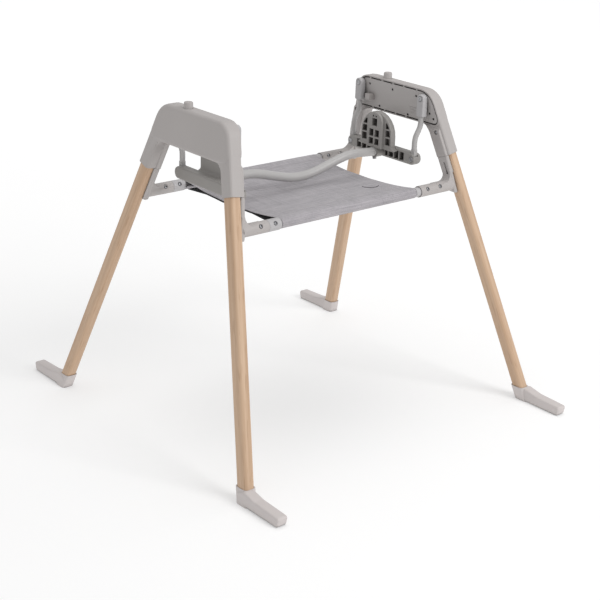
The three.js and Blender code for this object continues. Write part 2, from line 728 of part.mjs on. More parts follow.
function rail(side) {
  const y = railY(side);
  const tube = rod(RAIL.r, [-RAIL.end, y, RAIL.z], [1, 0, 0], 2 * RAIL.end, 14);
  const bore = rod(RAIL.r - RAIL.wall, [-RAIL.end - 1, y, RAIL.z], [1, 0, 0], 2 * RAIL.end + 2, 12);
  const holes = Object.values(ENDS).flatMap((end) =>
    [...end.elbowScrews, ...end.collarScrews].map((x) =>
      rod(2.4, onDrive(end.sign * x, side, 12), DRIVE, 10, 8),
    ),
  );
  return cut(tube, bore, ...holes);
}

// ---- Shelf --------------------------------------------------------------------------------------------
// The height of the cloth's top at a distance from the middle.
function sag(y) {
  const top = RAIL.z + SHELF.sleeve - 0.6;
  return SHELF.mid + (top - SHELF.mid) * Math.pow(Math.abs(y) / RAIL.y, SHELF.sag);
}

// The outline in Y-Z of a sheet whose top surface is at height(y), from -reach to reach.
function sheetOutline(height, reach, thick) {
  const ys = Array.from({ length: 11 }, (_, i) => -reach + (2 * reach * i) / 10);
  const upper = ys.map((y) => [y, height(y)]);
  const lower = ys.map((y) => [y, height(y) - thick]).reverse();
  return outline([...upper, ...lower].reverse());
}

function shelf() {
  const width = SHELF.right - SHELF.left;
  const sheet = across(sheetOutline(sag, RAIL.y, SHELF.cloth), SHELF.left, SHELF.right);
  const sleeve = (y) => rod(SHELF.sleeve, [SHELF.left, y, RAIL.z], [1, 0, 0], width, 16);
  const bore = (y) => rod(RAIL.r + GAP, [SHELF.left - 1, y, RAIL.z], [1, 0, 0], width + 2, 14);
  return cut(union(sheet, sleeve(RAIL.y), sleeve(-RAIL.y)), bore(RAIL.y), bore(-RAIL.y));
}

// It lies against the cloth in the middle and runs straight down towards the rails.
function shelfLining() {
  const parting = sag(LINING.leaves) - SHELF.cloth - 0.5;
  const slope = (parting - LINING.edge) / (LINING.reach - LINING.leaves);
  const height = (y) => {
    const past = Math.abs(y) - LINING.leaves;
    return past < 0 ? sag(y) - SHELF.cloth - 0.5 : parting - slope * past;
  };
  return across(sheetOutline(height, LINING.reach, LINING.thick), SHELF.left - 1.2, SHELF.right - 1);
}

// ---- Assembly -----------------------------------------------------------------------------------------
function endFrame(name, end) {
  const group = new THREE.Group();
  const add = (part, body, material) => group.add(node(`${name}_${part}`, body, material));
  add("head_shell", headShell(), plastic);
  add("head_cover", headCover(), innerPlastic);
  add("button", button(), plastic);
  add("button_spring", spring(), steel);
  add("swing_lock", swingLock(), plastic);
  add("carrier", carrier(), plastic);
  add("clamp_screw", clampScrew(), steel);
  for (const side of SIDES) {
    add(`leg_${side}`, leg(side), wood);
    add(`foot_${side}`, foot(side), footPlastic);
    add(`link_cap_${side}`, linkCap(side), plastic);
    add(`link_tube_${side}`, linkTube(side), paintedSteel);
    add(`upper_bolt_${side}`, pivotBolt(side, PIVOT.upper, CAP.face - 0.8, 5, 249), steel);
    add(`lower_bolt_${side}`, pivotBolt(side, PIVOT.lower, BAR.inner - 0.8, 5, 219.5), steel);
    add(`elbow_${side}`, elbow(side, end), plastic);
    add(`rail_collar_${side}`, collar(side, end), plastic);
    end.elbowScrews.forEach((x, i) => {
      add(`elbow_screw_${side}_${i + 1}`, railScrew(x, side, ELBOW.r), steel);
    });
    end.collarScrews.forEach((x) => add(`collar_screw_${side}`, railScrew(x, side, end.collarR), steel));
  }
  group.scale.x = end.sign;
  return group;
}

const stand = new THREE.Group();
stand.name = "glider_stand";
stand.add(endFrame("left", ENDS.left), endFrame("right", ENDS.right));
stand.add(node("cross_tube", crossTube(), paintedSteel));
for (const side of SIDES) stand.add(node(`rail_${side}`, rail(side), paintedSteel));
stand.add(node("shelf_cloth", shelf(), cloth));
stand.add(node("shelf_lining", shelfLining(), darkCloth));

export default stand;
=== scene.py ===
"""The glider stand's looks: materials for its CAD parts, a woven shelf, smooth tubes and small fittings.

Metres, in the CAD frame: +Z up, X from one end frame to the other, -Y the front.
"""

import json
import math

import bpy
from mathutils import Matrix, Vector, noise
from mathutils.bvhtree import BVHTree


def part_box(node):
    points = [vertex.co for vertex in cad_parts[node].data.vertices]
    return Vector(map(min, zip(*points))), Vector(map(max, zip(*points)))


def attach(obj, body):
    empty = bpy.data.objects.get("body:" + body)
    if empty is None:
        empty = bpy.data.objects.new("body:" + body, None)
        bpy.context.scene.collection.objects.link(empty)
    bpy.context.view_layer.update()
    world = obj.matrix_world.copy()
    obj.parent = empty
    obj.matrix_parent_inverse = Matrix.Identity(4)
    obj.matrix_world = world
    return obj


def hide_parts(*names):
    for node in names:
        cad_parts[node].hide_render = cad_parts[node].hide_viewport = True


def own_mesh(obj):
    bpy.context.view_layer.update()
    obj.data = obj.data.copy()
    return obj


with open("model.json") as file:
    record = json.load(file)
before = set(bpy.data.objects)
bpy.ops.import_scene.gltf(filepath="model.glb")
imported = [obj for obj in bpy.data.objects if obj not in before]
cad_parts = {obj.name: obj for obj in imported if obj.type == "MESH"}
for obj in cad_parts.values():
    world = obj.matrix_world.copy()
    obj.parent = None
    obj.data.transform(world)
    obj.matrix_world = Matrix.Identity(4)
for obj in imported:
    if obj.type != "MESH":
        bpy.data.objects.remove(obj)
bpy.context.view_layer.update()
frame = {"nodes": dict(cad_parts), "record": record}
NODES = frame["nodes"]

ENDS = {"left": -1, "right": 1}
SIDES = {"front": -1, "back": 1}

# ---- Driving dimensions, read off the CAD where a piece must meet it ---------------------------------
LEAN = 0.1866  # how far an end frame leans inwards, per unit of height
SPLAY = 0.3528  # how far a leg splays outwards, per unit of height
FOOT_X = 0.352
COVER_FACE = -0.0132  # the head cover's face, from the leaning plane of the legs
SLEEVE_FACE = -0.0198  # the inner face of the sleeves round the leg tops, from the same plane
COVER_SCREWS = (  # y and z
    (0.0714, 0.583),
    (0.0066, 0.583),
    (-0.059, 0.583),
    (0.0487, 0.5412),
    (-0.0314, 0.5402),
    (-0.0926, 0.5547),
    (-0.102, 0.5456),
)
STRAP_SCREW = (0.1126, 0.522)  # y and z of the screw through a sleeve and its bracket
SET_BACK = 0.0045  # the swing's own middle, behind the middle of the frames

RAIL_Y = 0.1425
RAIL_Z = 0.423
SLEEVE_R = 0.0093  # middle of the cloth that wraps a rail
CLOTH_THICK = 0.0011
FLAP = 0.026  # how far the hem runs back under the shelf
INSET = 0.0004  # how far the cloth stays inside the ends of its CAD solid
SHELF_X = (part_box("shelf_cloth")[0].x + INSET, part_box("shelf_cloth")[1].x - INSET)
SHELF_MID = 0.4230  # middle of the cloth at its lowest line
SAG = 2.2  # the power that the sheet rises with, from that line to the rails
SHEET_STEPS, SLEEVE_STEPS, HEM_STEPS = 24, 22, 8  # steps in each part of half the cloth's section
DRAPE_FRAMES = 22
MOST_SETTLING = 0.002  # how far the cloth may settle below that shape
SEAM_ROWS = (0.1185, 0.1215)  # y of the two rows of stitches beside each rail
LINING_DROP = 0.0018  # from the middle of the cloth to the middle of the lining against it
LINING_LEAVES, LINING_REACH, LINING_EDGE = 0.068, 0.127, 0.4177  # where the black lining parts and ends

TUBE_R, TUBE_WALL, TUBE_DIP = 0.0085, 0.0015, 0.4446  # the cross tube, and its height in the middle
TUBE_LINE = (  # x and height of its middle line, from beside the dip to the end in a socket
    (0.024, 0.4464),
    (0.048, 0.4513),
    (0.072, 0.4576),
    (0.097, 0.4642),
    (0.120, 0.4682),
    (0.142, 0.4689),
    (0.165, 0.4669),
    (0.186, 0.4656),
    (0.205, 0.4656),
)
STEM_R, STEM_TALL = 0.0068, 0.0035  # the narrow foot of a push button
SPRING_WIRE, SPRING_FOOT = 0.0007, 0.576  # wire radius, and the height of the ledge under a spring
SPRING_TURNS, SPRING_PRESSED = 4, 0.59  # coils, and the length left when pressed
GRIP_MARK = (0.1125, -0.0665, 0.0168)  # centre x, y and radius of the bound cut in the shelf

CAMERA_AT = (-1.6079, -1.8718, 1.1549)
CAMERA_YAW, CAMERA_PITCH, CAMERA_ROLL = 49.236, 21.236, 2.064
CAMERA_LENS, SENSOR = 81.55, 36.0
SKY_LIGHT = 0.58
FLOOR_HALF = 14.0
SHARP = math.radians(48)  # a steeper edge than this isn't shaded smooth


def srgb(r, g, b):
    """A linear colour from 0-255 display values."""
    return tuple(c / 3294.6 if c <= 10 else ((c / 255 + 0.055) / 1.055) ** 2.4 for c in (r, g, b)) + (1.0,)


def shade(colour, factor):
    """The colour, darker or paler."""
    return tuple(min(1.0, c * factor) for c in colour[:3]) + (1.0,)


# ---- Node helpers -------------------------------------------------------------------------------------
class Mat:
    """A material under construction. Most calls add a node and return its output socket."""

    def __init__(self, name):
        self.material = bpy.data.materials.new(name)
        self.material.use_nodes = True
        self.tree = self.material.node_tree
        self.tree.nodes.clear()
        self.out = self.tree.nodes.new("ShaderNodeOutputMaterial")
        self.bsdf = self.tree.nodes.new("ShaderNodeBsdfPrincipled")
        self.tree.links.new(self.bsdf.outputs[0], self.out.inputs[0])
        self.coords = self.tree.nodes.new("ShaderNodeTexCoord").outputs["Object"]

    def put(self, socket, value):
        """Links a socket to the input, or sets the input to a plain value."""
        if isinstance(value, bpy.types.NodeSocket):
            self.tree.links.new(value, socket)
        else:
            socket.default_value = value

    def add(self, kind, **inputs):
        node = self.tree.nodes.new(kind)
        for key, value in inputs.items():
            self.put(node.inputs[key], value)
        return node

    def set(self, name, value):
        self.put(self.bsdf.inputs[name], value)

    def noise(self, scale, detail=2.0, rough=0.5, at=None):
        node = self.add("ShaderNodeTexNoise", Scale=scale, Detail=detail, Roughness=rough)
        self.put(node.inputs["Vector"], at or self.coords)
        return node.outputs["Fac"]

    def stretch(self, scale, at=None):
        node = self.add("ShaderNodeMapping")
        self.put(node.inputs["Vector"], at or self.coords)
        node.inputs["Scale"].default_value = scale
        return node.outputs[0]

    def ramp(self, value, stops):
        node = self.tree.nodes.new("ShaderNodeValToRGB")
        self.put(node.inputs[0], value)
        ramp = node.color_ramp
        while len(ramp.elements) < len(stops):
            ramp.elements.new(0.5)
        for element, (at, colour) in zip(ramp.elements, stops):
            element.position = at
            element.color = colour if isinstance(colour, tuple) else (colour, colour, colour, 1)
        return node.outputs[0]

    def math(self, operation, a, b=0.0):
        node = self.tree.nodes.new("ShaderNodeMath")
        node.operation = operation
        self.put(node.inputs[0], a)
        self.put(node.inputs[1], b)
        return node.outputs[0]

    def mix(self, factor, a, b):
        node = self.tree.nodes.new("ShaderNodeMix")
        node.data_type = "RGBA"
        self.put(node.inputs[0], factor)
        self.put(node.inputs[6], a)
        self.put(node.inputs[7], b)
        return node.outputs[2]

    def range(self, value, low, high):
        """Maps 0 to 1 onto low to high."""
        node = self.add("ShaderNodeMapRange")
        self.put(node.inputs["Value"], value)
        node.inputs["To Min"].default_value = low
        node.inputs["To Max"].default_value = high
        return node.outputs[0]

    def bump(self, height, strength, distance, under=None):
        node = self.add("ShaderNodeBump", Strength=strength, Distance=distance)
        self.put(node.inputs["Height"], height)
        if under is not None:
            self.put(node.inputs["Normal"], under)
        return node.outputs[0]

    def open_sky(self, reach):
        """One where the surface is open, towards zero in pockets and gaps narrower than the reach."""
        node = self.tree.nodes.new("ShaderNodeAmbientOcclusion")
        node.samples = 6
        node.inputs["Distance"].default_value = reach
        return self.ramp(node.outputs["AO"], [(0.1, 0.0), (0.5, 1.0)])

    def soft_edges(self, radius):
        """A normal that shades every edge as if it were rounded."""
        node = self.tree.nodes.new("ShaderNodeBevel")
        node.samples = 6
        node.inputs["Radius"].default_value = radius
        return node.outputs[0]


# ---- Materials ----------------------------------------------------------------------------------------
def plastic(name, colour, roughness=0.5, edge=0.0007, grain=0.35):
    """Moulded plastic: a fine spark-eroded grain, faint flow marks, edges rubbed a little paler, and
    painted shade in its pockets and gaps.
    """
    m = Mat(name)
    soft = m.soft_edges(edge)
    flow = m.noise(14, 3, at=m.stretch((1.0, 1.0, 0.4)))
    base = m.mix(m.range(flow, 0.0, 1.0), shade(colour, 0.965), shade(colour, 1.03))
    geometry = m.tree.nodes.new("ShaderNodeNewGeometry")
    worn = m.ramp(geometry.outputs["Pointiness"], [(0.52, 0.0), (0.6, 1.0)])
    scuff = m.ramp(m.noise(900, 2), [(0.5, 0.0), (0.72, 1.0)])
    wear = m.math("MULTIPLY", m.math("MULTIPLY", worn, 0.35), scuff)
    # painted shade: pockets, gaps and contact lines darken towards a dark reddish brown as ambient
    # occlusion closes in
    painted_shade = m.mix(0.4, shade(colour, 0.14), srgb(58, 44, 43))
    unshaded = m.math("MULTIPLY", m.open_sky(0.016), m.range(m.open_sky(0.003), 0.25, 1.0))
    m.set("Base Color", m.mix(unshaded, painted_shade, m.mix(wear, base, shade(colour, 1.14))))
    m.set("Roughness", m.range(m.noise(60, 3), roughness - 0.05, roughness + 0.07))
    m.set("Specular IOR Level", 0.42)
    m.set("Normal", m.bump(m.noise(2600, 2), grain, 0.00005, soft))
    return m.material


def painted(name, colour):
    """Powder-coated steel tube: satin, with a slight orange peel."""
    m = Mat(name)
    m.set("Base Color", m.mix(m.noise(25, 2), shade(colour, 0.97), shade(colour, 1.03)))
    m.set("Roughness", m.range(m.noise(120, 2), 0.33, 0.43))
    m.set("Coat Weight", 0.2)
    m.set("Coat Roughness", 0.3)
    m.set("Normal", m.bump(m.noise(700, 2), 0.25, 0.00006, m.soft_edges(0.0005)))
    return m.material


def steel(name, colour, roughness):
    """Bare or blackened steel with fine turned marks."""
    m = Mat(name)
    turned_marks = m.noise(300, 3, at=m.stretch((1.0, 8.0, 8.0)))
    m.set("Base Color", m.mix(turned_marks, shade(colour, 0.85), shade(colour, 1.1)))
    m.set("Metallic", 0.95)
    m.set("Roughness", m.range(turned_marks, roughness - 0.06, roughness + 0.1))
    m.set("Normal", m.bump(turned_marks, 0.15, 0.00005, m.soft_edges(0.0003)))
    return m.material


def along_axes(m, along):
    """Object coordinates turned so that the first one runs along the direction given."""
    first = Vector(along).normalized()
    second = first.cross(Vector((1, 0, 0))).normalized()
    third = first.cross(second)
    combine = m.tree.nodes.new("ShaderNodeCombineXYZ")
    for i, axis in enumerate((first, second, third)):
        dot = m.tree.nodes.new("ShaderNodeVectorMath")
        dot.operation = "DOT_PRODUCT"
        m.put(dot.inputs[0], m.coords)
        dot.inputs[1].default_value = axis
        m.put(combine.inputs[i], dot.outputs["Value"])
    return combine.outputs[0]


def beech(name, along, seed):
    """Clear-lacquered beech: straight grain with short dark flecks, drawn along the leg."""
    m = Mat(name)
    shifted = m.add("ShaderNodeVectorMath")
    m.put(shifted.inputs[0], along_axes(m, along))
    shifted.inputs[1].default_value = (seed * 0.31, seed * 0.17, seed * 0.23)
    at = shifted.outputs[0]
    broad = m.noise(9, 3, 0.55, m.stretch((0.35, 4.0, 4.0), at))
    rings = m.noise(55, 4, 0.6, m.stretch((0.06, 2.4, 2.4), at))
    pores = m.noise(420, 2, 0.5, m.stretch((0.06, 2.2, 2.2), at))
    flecks = m.ramp(m.noise(170, 1, 0.4, m.stretch((0.16, 1.6, 1.6), at)), [(0.62, 0.0), (0.74, 1.0)])
    pale, mid, deep = srgb(214, 186, 158), srgb(200, 169, 140), srgb(180, 146, 116)
    base = m.ramp(rings, [(0.3, deep), (0.5, mid), (0.72, pale)])
    base = m.mix(m.range(broad, 0.1, 0.55), base, mid)
    base = m.mix(m.math("MULTIPLY", m.ramp(pores, [(0.5, 0.0), (0.75, 1.0)]), 0.28), base, deep)
    base = m.mix(m.math("MULTIPLY", flecks, 0.35), base, srgb(160, 124, 94))
    m.set("Base Color", base)
    m.set("Roughness", m.range(rings, 0.42, 0.54))
    m.set("Coat Weight", 0.15)
    m.set("Coat Roughness", 0.35)
    m.set("Normal", m.bump(pores, 0.2, 0.00012, m.soft_edges(0.0008)))
    return m.material


def weave_height(m, pitch):
    """A plain weave from two crossed sets of threads, over at one crossing and under at the next."""
    split = m.tree.nodes.new("ShaderNodeSeparateXYZ")
    wobble = m.noise(60, 2)
    m.put(split.inputs[0], m.coords)
    turn = math.pi / pitch
    x = m.math("ADD", m.math("MULTIPLY", split.outputs[0], turn), m.math("MULTIPLY", wobble, 0.6))
    y = m.math("ADD", m.math("MULTIPLY", split.outputs[1], turn), m.math("MULTIPLY", wobble, 0.6))
    warp = m.math("ABSOLUTE", m.math("SINE", x))
    weft = m.math("ABSOLUTE", m.math("SINE", y))
    over = m.math("MULTIPLY", m.math("SINE", x), m.math("SINE", y))
    return m.math("ADD", m.math("MULTIPLY", warp, weft), m.math("MULTIPLY", over, 0.5))


def melange(name, dark, pale, pitch=0.0011, contrast=1.0):
    """Melange cloth: yarns of uneven shade that run both ways as faint streaks across a plain weave."""
    m = Mat(name)
    split_x = m.noise(330, 3, 0.65, m.stretch((0.035, 1.6, 1.6)))
    split_y = m.noise(330, 3, 0.65, m.stretch((1.6, 0.035, 1.6)))
    slub_x = m.ramp(m.noise(260, 2, 0.5, m.stretch((0.05, 2.2, 1.0))), [(0.56, 0.0), (0.7, 1.0)])
    slub_y = m.ramp(m.noise(240, 2, 0.5, m.stretch((2.2, 0.05, 1.0))), [(0.58, 0.0), (0.72, 1.0)])
    yarn = m.math("ADD", m.math("MULTIPLY", split_x, 0.55), m.math("MULTIPLY", split_y, 0.45))
    patch = m.noise(26, 3)
    tone = m.math("ADD", m.math("MULTIPLY", yarn, 0.85), m.math("MULTIPLY", patch, 0.15))
    base = m.ramp(tone, [(0.5 - 0.17 / contrast, dark), (0.5 + 0.17 / contrast, pale)])
    base = m.mix(m.math("MULTIPLY", slub_x, 0.4), base, shade(pale, 1.12))
    base = m.mix(m.math("MULTIPLY", slub_y, 0.35), base, shade(dark, 0.86))
    weave = weave_height(m, pitch)
    # painted shade: the base colour darkens where the weave dips between threads
    m.set("Base Color", m.mix(m.range(weave, 0.35, 0.0), base, shade(dark, 0.7)))
    m.set("Roughness", 0.92)
    m.set("Specular IOR Level", 0.2)
    m.set("Sheen Weight", 0.25)
    m.set("Sheen Roughness", 0.5)
    fuzz = m.math("MULTIPLY", m.noise(3500, 2), 0.5)
    m.set("Normal", m.bump(m.math("ADD", weave, fuzz), 0.5, 0.0003))
    return m.material


def thread(name, colour):
    """Twisted sewing thread or binding."""
    m = Mat(name)
    ply = m.noise(1800, 2, 0.5, m.stretch((1.0, 0.4, 1.0)))
    m.set("Base Color", m.mix(ply, shade(colour, 0.8), shade(colour, 1.15)))
    m.set("Roughness", 0.8)
    m.set("Normal", m.bump(ply, 0.4, 0.0001))
    return m.material


HEAD = plastic("head_plastic", srgb(176, 171, 169), 0.48)
PANEL = plastic("cover_plastic", srgb(183, 179, 177), 0.55, grain=0.5)
# partly the carriers' own greyer plastic, partly painted shade: darkened by about 20 levels for the shade
# they sit in under the heads
CARRIER = plastic("carrier_plastic", srgb(152, 149, 146), 0.45)
COLLAR = plastic("collar_plastic", srgb(180, 178, 179), 0.45)
FOOT = plastic("foot_plastic", srgb(206, 199, 197), 0.5)
PAINT = painted("painted_tube", srgb(178, 176, 175))
STEEL = steel("fastener_steel", srgb(176, 176, 178), 0.28)
# partly painted shade: a darker steel than the other fasteners, so that the recess round each rail screw
# head reads dark
RAIL_SCREW = steel("rail_screw", srgb(150, 150, 153), 0.18)
DARK_STEEL = steel("blackened_screw", srgb(40, 40, 43), 0.5)
CLOTH = melange("shelf_fabric", srgb(141, 138, 142), srgb(202, 197, 201))
LINING = melange("lining_fabric", srgb(38, 38, 41), srgb(58, 58, 62), 0.0008)
THREAD = thread("hem_thread", srgb(176, 172, 176))
BINDING = thread("dark_binding", srgb(62, 60, 64))


# Pieces whose shade or finish differs from the rest of their material slot, by a part of their name.
OWN_MATERIAL = {
    "rail_collar": COLLAR,
    "link_cap": COLLAR,
    "elbow_screw": RAIL_SCREW,
    "collar_screw": RAIL_SCREW,
}


def paint_cad():
    """Gives every carried-over CAD node its material."""
    materials = {
        "head_plastic": HEAD,
        "cover_plastic": PANEL,
        "carrier_plastic": CARRIER,
        "foot_plastic": FOOT,
        "painted_tube": PAINT,
        "fastener_steel": STEEL,
        "shelf_fabric": CLOTH,
        "lining_fabric": LINING,
    }
    for seed, subpart in enumerate(frame["record"]["subparts"]):
        name, slot = subpart["node"], subpart["material_slot"]
        x = ENDS.get(name.split("_")[0], 0)
        y = SIDES.get(name.split("_")[-1], 0)
        is_leg = slot == "leg_wood"
        material = beech(f"beech_{name}", (-x * LEAN, -y * SPLAY, 1), seed) if is_leg else materials[slot]
        material = next((m for part, m in OWN_MATERIAL.items() if part in name), material)
        NODES[name].data.materials.clear()
        NODES[name].data.materials.append(material)


def smooth_cad(obj, angle=50):
    """Soft shading over a faceted CAD mesh, with its sharp edges kept."""
    custom = obj.data.attributes.get("custom_normal")
    if custom:
        obj.data.attributes.remove(custom)
    obj.data.polygons.foreach_set("use_smooth", [True] * len(obj.data.polygons))
    weld = obj.modifiers.new("weld", "WELD")
    weld.merge_threshold = 2e-6
    split = obj.modifiers.new("split", "EDGE_SPLIT")
    split.split_angle = math.radians(angle)
    weighted = obj.modifiers.new("weighted", "WEIGHTED_NORMAL")
    weighted.weight = 60
    weighted.keep_sharp = True


# ---- Geometry helpers ---------------------------------------------------------------------------------
def mesh_object(name, verts, faces, material, body):
    """A smooth-shaded piece that rides on a body."""
    mesh = bpy.data.meshes.new(name)
    mesh.from_pydata([tuple(v) for v in verts], [], faces)
    mesh.polygons.foreach_set("use_smooth", [True] * len(mesh.polygons))
    mesh.materials.append(material)
    obj = bpy.data.objects.new(name, mesh)
    bpy.context.scene.collection.objects.link(obj)
    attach(obj, body)
    return obj


def basis(direction):
    """Three unit vectors at right angles, the last along the direction."""
    along = Vector(direction).normalized()
    side = along.orthogonal().normalized()
    return side, along.cross(side), along


def lathe(name, at, direction, profile, material, body, sides=48):
    """A turned piece from [radius, height] points; a radius of zero closes it."""
    side, other, along = basis(direction)
    verts, rings, faces = [], [], []
    for r, h in profile:
        centre = Vector(at) + along * h
        count = sides if r > 1e-9 else 1
        rings.append(range(len(verts), len(verts) + count))
        for i in range(count):
            a = 2 * math.pi * i / sides
            verts.append(centre + r * (math.cos(a) * side + math.sin(a) * other))
    for low, high in zip(rings, rings[1:]):
        for k in range(sides):
            n = k + 1
            quad = [low[k % len(low)], low[n % len(low)], high[n % len(high)], high[k % len(high)]]
            faces.append(list(dict.fromkeys(quad)))
    obj = mesh_object(name, verts, faces, material, body)
    obj.data.set_sharp_from_angle(angle=SHARP)
    return obj


def smooth_path(points, per_span=10):
    """A Catmull-Rom curve through the points."""
    ends = [2 * points[0] - points[1], *points, 2 * points[-1] - points[-2]]
    path = []
    for a, b, c, d in zip(ends, ends[1:], ends[2:], ends[3:]):
        for i in range(per_span):
            t = i / per_span
            bend = 2 * a - 5 * b + 4 * c - d
            twist = 3 * b - a - 3 * c + d
            path.append(0.5 * (2 * b + (c - a) * t + bend * t**2 + twist * t**3))
    return [*path, points[-1]]


def tube_rings(path, radii, sides, level):
    """Points round a path, one ring per radius at each of its points, and each ring's first index."""
    verts, rings = [], []
    for i, point in enumerate(path):
        tangent = (path[min(i + 1, len(path) - 1)] - path[max(i - 1, 0)]).normalized()
        side = tangent.cross(Vector(level)).normalized()
        up = side.cross(tangent)
        for r in radii:
            rings.append(len(verts))
            angles = (2 * math.pi * k / sides for k in range(sides))
            verts += [point + r * (math.cos(a) * side + math.sin(a) * up) for a in angles]
    return verts, rings


def tube(name, path, radius, material, body, wall=0.0, sides=40, level=(0, 1, 0)):
    """A round bar along a path, or a tube open at both ends when it has a wall."""
    radii = [radius, radius - wall] if wall else [radius]
    verts, rings = tube_rings(path, radii, sides, level)
    faces = []
    step = len(radii)
    for layer in range(step):
        for a, b in zip(rings[layer::step], rings[layer + step :: step]):
            for k in range(sides):
                n = (k + 1) % sides
                quad = [a + k, a + n, b + n, b + k]
                faces.append(quad if layer == 0 else quad[::-1])
    for first, flip in ((0, False), (-step, True)):
        ring = rings[first]
        if wall:
            inner = rings[first + 1]
            pairs = [(k, (k + 1) % sides) for k in range(sides)]
            caps = [[ring + n, ring + k, inner + k, inner + n] for k, n in pairs]
        else:
            caps = [[ring + k for k in reversed(range(sides))]]
        faces += [cap[::-1] if flip else cap for cap in caps]
    obj = mesh_object(name, verts, faces, material, body)
    obj.data.set_sharp_from_angle(angle=SHARP)
    return obj


# ---- Tubes and buttons --------------------------------------------------------------------------------
def cross_tube():
    """The bent tube between the carriers, dipping in the middle."""
    mirrored = [(-x, z) for x, z in reversed(TUBE_LINE)]
    points = [*mirrored, (0, TUBE_DIP), *TUBE_LINE]
    path = smooth_path([Vector((x, SET_BACK, z)) for x, z in points])
    piece = tube("cross_tube_paint", path, TUBE_R, PAINT, "swing", wall=TUBE_WALL)
    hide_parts("cross_tube")


def button(end):
    """A push button with a rounded crown and a fine parting line."""
    low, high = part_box(f"{end}_button")
    r, top = (high.x - low.x) / 2, high.z
    profile = [
        (0, low.z),
        (STEM_R, low.z),
        (STEM_R, low.z + STEM_TALL),
        (r, low.z + STEM_TALL),
        (r, top - 0.0040),
        (r - 0.0002, top - 0.0038),
        (r - 0.0001, top - 0.0018),
        (r - 0.0006, top - 0.0008),
        (r - 0.0014, top - 0.0003),
        (r - 0.0026, top),
        (0.0012, top - 0.0002),
        (0, top - 0.0002),
    ]
    at = ((low.x + high.x) / 2, (low.y + high.y) / 2, 0)
    piece = lathe(f"{end}_button_crown", at, (0, 0, 1), profile, HEAD, f"{end}_push_button")
    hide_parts(f"{end}_button")


def button_spring(end):
    """The coil spring under a button."""
    low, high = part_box(f"{end}_button_spring")
    x, y = (low.x + high.x) / 2, (low.y + high.y) / 2
    reach = (high.x - low.x) / 2 - SPRING_WIRE
    path, per_turn = [], 24
    steps = SPRING_TURNS * per_turn
    for i in range(steps + 1):
        a = 2 * math.pi * i / per_turn
        z = low.z + SPRING_WIRE + (high.z - low.z - 2 * SPRING_WIRE) * i / steps
        path.append(Vector((x + reach * math.cos(a), y + reach * math.sin(a), z)))
    name, up = f"{end}_coil_spring", (0, 0, 1)
    piece = tube(name, path, SPRING_WIRE, STEEL, "stand", sides=10, level=up)
    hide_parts(f"{end}_button_spring")
    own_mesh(piece)


# ---- Fittings -----------------------------------------------------------------------------------------
def pan_screw(name, at, inward, r, material=DARK_STEEL):
    """A domed screw with a round socket, whose rim is at the point given."""
    rise = 0.45 * r
    profile = [
        (0, rise * 0.6),
        (0.36 * r, rise * 0.55),
        (0.44 * r, 0.02 * r),
        (0.72 * r, 0.14 * r),
        (0.93 * r, 0.36 * r),
        (r, rise + 0.2 * r),
        (r, rise + 0.5 * r),
        (0, rise + 0.5 * r),
    ]
    lathe(name, at, inward, profile, material, "stand", 24)


def on_frame(sign, x, y, z):
    """A point on an end frame, x measured outwards from the leaning plane of its legs."""
    return Vector((sign * (FOOT_X - LEAN * z + x), y, z))


def head_fittings(end, sign):
    """The screws in the wells of a head cover, and those through the sleeves."""
    inward = Vector((sign, 0, 0))
    for i, (y, z) in enumerate(COVER_SCREWS):
        at = on_frame(sign, COVER_FACE + 0.0001, y, z)
        pan_screw(f"{end}_cover_screw_{i + 1}", at, inward, 0.0025)
    for side, way in SIDES.items():
        y, z = STRAP_SCREW
        at = on_frame(sign, SLEEVE_FACE + 0.0005, way * y, z)
        pan_screw(f"{end}_strap_screw_{side}", at, inward, 0.0032, STEEL)


# ---- Shelf --------------------------------------------------------------------------------------------
def shelf_section():
    """The cloth's middle line in Y-Z: hem, round the front rail, over the shelf and round the back rail."""
    top = RAIL_Z + SLEEVE_R
    half = []
    for i in range(SHEET_STEPS + 1):
        t = i / SHEET_STEPS
        y = RAIL_Y * (1 - t)
        half.append((y, SHELF_MID + (top - SHELF_MID) * (y / RAIL_Y) ** SAG))
    wrap = [math.radians(90 - 250 * (i + 1) / SLEEVE_STEPS) for i in range(SLEEVE_STEPS)]
    sleeve = [(RAIL_Y + SLEEVE_R * math.cos(a), RAIL_Z + SLEEVE_R * math.sin(a)) for a in wrap]
    hem_y, hem_z = sleeve[-1]
    last = (RAIL_Y - FLAP, half[5][1] - 2.0 * CLOTH_THICK)
    hem = [
        (hem_y + (last[0] - hem_y) * t, hem_z + (last[1] - hem_z) * math.sin(t * math.pi / 2))
        for t in ((i + 1) / HEM_STEPS for i in range(HEM_STEPS))
    ]
    side = list(reversed(half[:-1])) + sleeve + hem
    return [(-y, z) for y, z in reversed(side)] + [half[-1]] + side


def drape(obj, free):
    """Lets the middle of the sheet settle between its pinned sleeves, by a limited amount."""
    rest = [v.co.copy() for v in obj.data.vertices]
    pins = obj.vertex_groups.new(name="pins")
    for v in obj.data.vertices:
        pins.add([v.index], 0.0 if free(v.co) else 1.0, "REPLACE")
    cloth = obj.modifiers.new("drape", "CLOTH")
    settings = cloth.settings
    settings.quality = 6
    settings.mass = 0.25
    settings.tension_stiffness = 60
    settings.compression_stiffness = 40
    settings.shear_stiffness = 12
    settings.bending_stiffness = 0.6
    settings.vertex_group_mass = "pins"
    cloth.collision_settings.use_collision = False
    cloth.point_cache.frame_start, cloth.point_cache.frame_end = 1, DRAPE_FRAMES
    for number in range(1, DRAPE_FRAMES + 1):
        bpy.context.scene.frame_set(number)
    settled = obj.evaluated_get(bpy.context.evaluated_depsgraph_get()).data
    moved = [v.co.copy() for v in settled.vertices]
    obj.modifiers.remove(cloth)
    bpy.context.scene.frame_set(1)
    steps = [new - old for old, new in zip(rest, moved)]
    scale = min(1.0, MOST_SETTLING / max(step.length for step in steps))
    for v, old, step in zip(obj.data.vertices, rest, steps):
        v.co = old + step * scale


